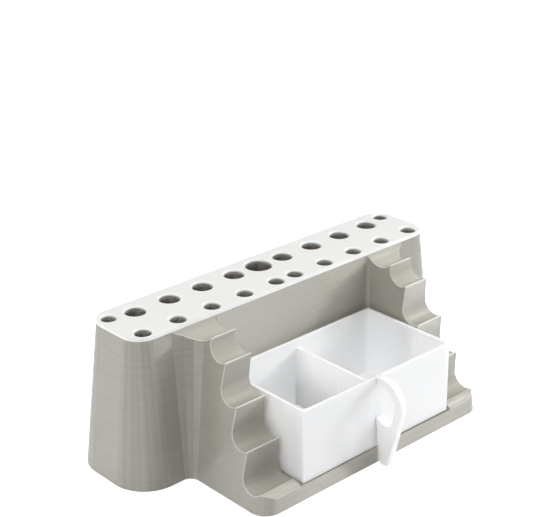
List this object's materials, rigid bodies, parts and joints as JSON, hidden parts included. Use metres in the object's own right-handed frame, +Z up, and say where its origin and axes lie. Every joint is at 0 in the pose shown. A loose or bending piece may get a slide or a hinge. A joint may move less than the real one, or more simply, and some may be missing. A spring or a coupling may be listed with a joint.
{
  "type": "brush holder",
  "caption": "Brush holder: a drafted grey block with rows of blind holes under a white cap, scalloped wings round a bay, and a divided white tray with an ear handle that slides out.",
  "frame": {"origin": "on the base plane, at mid-length, midway between the two rows of holes", "axes": "+X along the length, -Y towards the front where the tray slides out, +Z up"},
  "size_m": [0.2074, 0.1174, 0.0741],
  "materials": {
    "grey_print": "satin, fine layer lines",
    "white_print": "satin, fine layer lines"
  },
  "bodies": {
    "holder": {"block": "grey_print", "top_plate": "white_print"},
    "drawer": {"tray": "white_print", "tray_handle": "white_print"}
  },
  "joints": [
    {"name": "tray_slide", "type": "slide", "parent": "holder", "child": "drawer", "axis": [0, -1, 0], "range_m": [0, 0.0546]}
  ]
}
